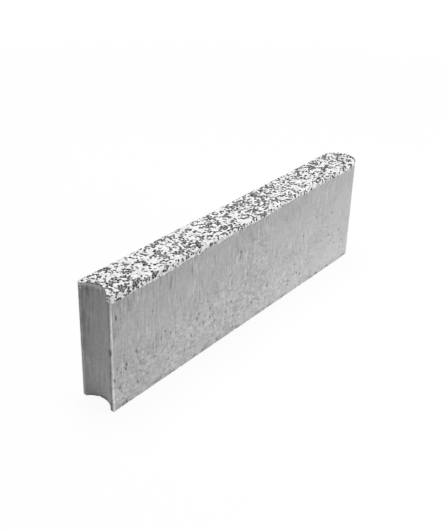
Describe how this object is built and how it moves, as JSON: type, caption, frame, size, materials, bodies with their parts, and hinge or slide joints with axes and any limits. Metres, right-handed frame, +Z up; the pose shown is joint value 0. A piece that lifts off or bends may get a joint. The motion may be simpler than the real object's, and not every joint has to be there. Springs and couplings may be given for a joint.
{
  "type": "concrete edging kerb",
  "caption": "Upright concrete edging kerb with a speckled stone face mix on top, a hollow end with a vertical groove and a matching full-round end.",
  "frame": {"origin": "middle of the underside, on the level surface that the kerb stands on", "axes": "+X along the kerb from the hollow end to the round end, +Y across it towards the back, +Z up to the speckled top"},
  "size_m": [1, 0.1, 0.3],
  "materials": {
    "grey_concrete": "cast mid-grey concrete, matt, with fine upright draw marks, pinholes and a few pale specks",
    "speckled_face_mix": "exposed black, grey and white stone chippings of 2 to 6 mm in a pale grey matrix, matt and slightly rough"
  },
  "bodies": {
    "root": {"backing_concrete": "grey_concrete", "face_layer": "speckled_face_mix"}
  },
  "joints": []
}
